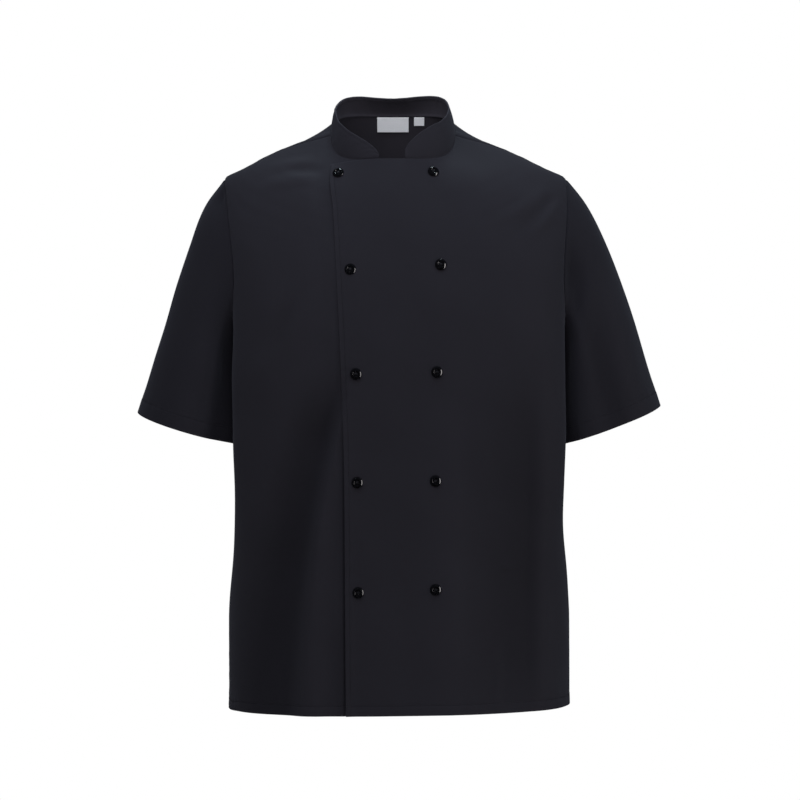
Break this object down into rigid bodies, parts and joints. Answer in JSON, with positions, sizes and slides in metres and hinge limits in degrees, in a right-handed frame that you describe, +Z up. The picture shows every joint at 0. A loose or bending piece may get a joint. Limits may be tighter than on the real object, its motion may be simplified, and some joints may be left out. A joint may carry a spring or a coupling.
{
  "type": "bistro shirt",
  "caption": "Short-sleeved double-breasted black kitchen shirt with a stand collar, hollow and filled out in the form it has when worn.",
  "frame": {"origin": "middle of the neck opening, level with the tops of the shoulders beside the collar, where the wearer's neck and shoulders hold the shirt up", "axes": "+X is the viewer's right seen from the front, which is the wearer's left; +Y is the back of the shirt; +Z is up, from hem to collar"},
  "size_m": [0.6831, 0.2848, 0.8048],
  "materials": {
    "black_cloth": "fine twill, matt with a soft sheen",
    "collar_cloth": "fine twill in two layers, topstitched",
    "button_black": "glossy black, dished with a raised rim",
    "label_tape": "white woven tape, bare"
  },
  "bodies": {
    "root": {"front_left": "black_cloth", "front_right": "black_cloth", "back": "black_cloth", "sleeve_left": "black_cloth", "sleeve_right": "black_cloth", "collar": "collar_cloth", "button_edge_1": "button_black", "button_edge_2": "button_black", "button_edge_3": "button_black", "button_edge_4": "button_black", "button_edge_5": "button_black", "button_inner_1": "button_black", "button_inner_2": "button_black", "button_inner_3": "button_black", "button_inner_4": "button_black", "button_inner_5": "button_black", "label_main": "label_tape", "label_size": "label_tape"}
  },
  "joints": []
}
